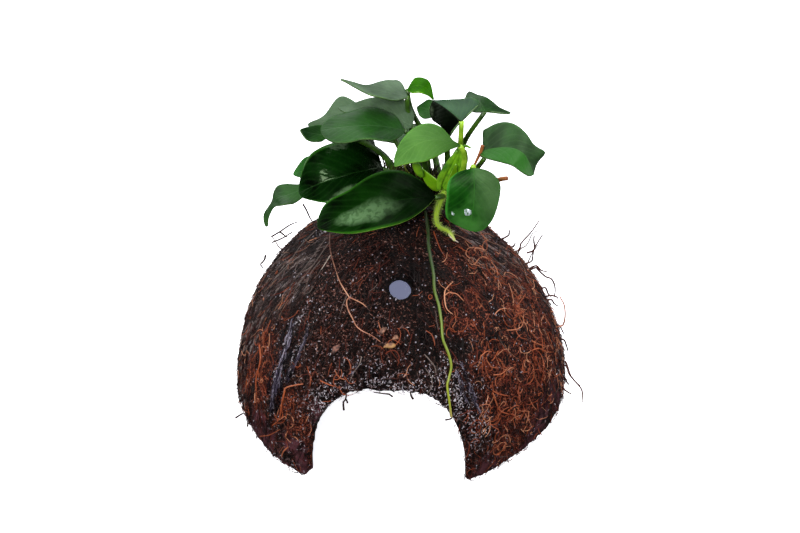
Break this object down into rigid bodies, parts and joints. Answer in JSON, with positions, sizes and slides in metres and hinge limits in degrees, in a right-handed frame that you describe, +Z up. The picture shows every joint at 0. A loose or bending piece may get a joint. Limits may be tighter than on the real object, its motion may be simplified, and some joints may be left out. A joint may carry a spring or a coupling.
{
  "type": "anubias on coconut cave",
  "caption": "Upturned half coconut shell with an arched door and a small water hole, a hiding cave for fish, with a broad-leaved anubias rooted over its top.",
  "frame": {"origin": "on the plane the rim stands on, at the middle of the part's outline seen from above", "axes": "+Z up from the rim to the plant, -Y out of the door of the cave, +X to the right of the door seen from in front"},
  "size_m": [0.1196, 0.1146, 0.1164],
  "materials": {
    "coir_brown": "wet, fibrous coir over hard shell, rough",
    "rhizome_green": "ringed green skin, satin",
    "stalk_green": "smooth bright green, satin",
    "leaf_dark_green": "dark green, wet gloss",
    "leaf_young_green": "fresh light green, wet gloss",
    "root_green": "green root skin, satin",
    "root_young": "pale yellow-green root skin, satin",
    "root_pink": "thin pinkish-brown root, matte",
    "old_stalk_brown": "dry brown stub, matte"
  },
  "bodies": {
    "root": {"coconut_shell": "coir_brown", "rhizome": "rhizome_green", "leaf_front_broad": "leaf_dark_green", "stalk_front_broad": "stalk_green", "leaf_left_dark": "leaf_dark_green", "stalk_left_dark": "stalk_green", "leaf_middle_left": "leaf_dark_green", "stalk_middle_left": "stalk_green", "leaf_back_left": "leaf_dark_green", "stalk_back_left": "stalk_green", "leaf_top_grey": "leaf_dark_green", "stalk_top_grey": "stalk_green", "leaf_far_left_round": "leaf_dark_green", "stalk_far_left_round": "stalk_green", "leaf_far_left_small": "leaf_dark_green", "stalk_far_left_small": "stalk_green", "leaf_left_peek": "leaf_young_green", "stalk_left_peek": "stalk_green", "leaf_left_low": "leaf_dark_green", "stalk_left_low": "stalk_green", "leaf_centre_light": "leaf_young_green", "stalk_centre_light": "stalk_green", "leaf_top_right": "leaf_dark_green", "stalk_top_right": "stalk_green", "leaf_right_edge": "leaf_dark_green", "stalk_right_edge": "stalk_green", "leaf_top_bright": "leaf_young_green", "stalk_top_bright": "stalk_green", "leaf_back_small": "leaf_dark_green", "stalk_back_small": "stalk_green", "leaf_right_folded": "leaf_dark_green", "stalk_right_folded": "stalk_green", "leaf_front_right": "leaf_dark_green", "stalk_front_right": "stalk_green", "leaf_behind_wide": "leaf_dark_green", "stalk_behind_wide": "stalk_green", "leaf_behind_right": "leaf_dark_green", "stalk_behind_right": "stalk_green", "leaf_behind_left": "leaf_dark_green", "stalk_behind_left": "stalk_green", "old_stalk": "old_stalk_brown", "sheath_left": "stalk_green", "sheath_middle": "stalk_green", "root_long_front": "root_green", "root_thick_front": "root_young", "root_pink_left": "root_pink", "root_pink_fork": "root_pink", "root_back_left": "root_green", "root_back_right": "root_green", "strand_right_high": "coir_brown", "strand_right_low": "coir_brown", "strand_left": "coir_brown"}
  },
  "joints": []
}
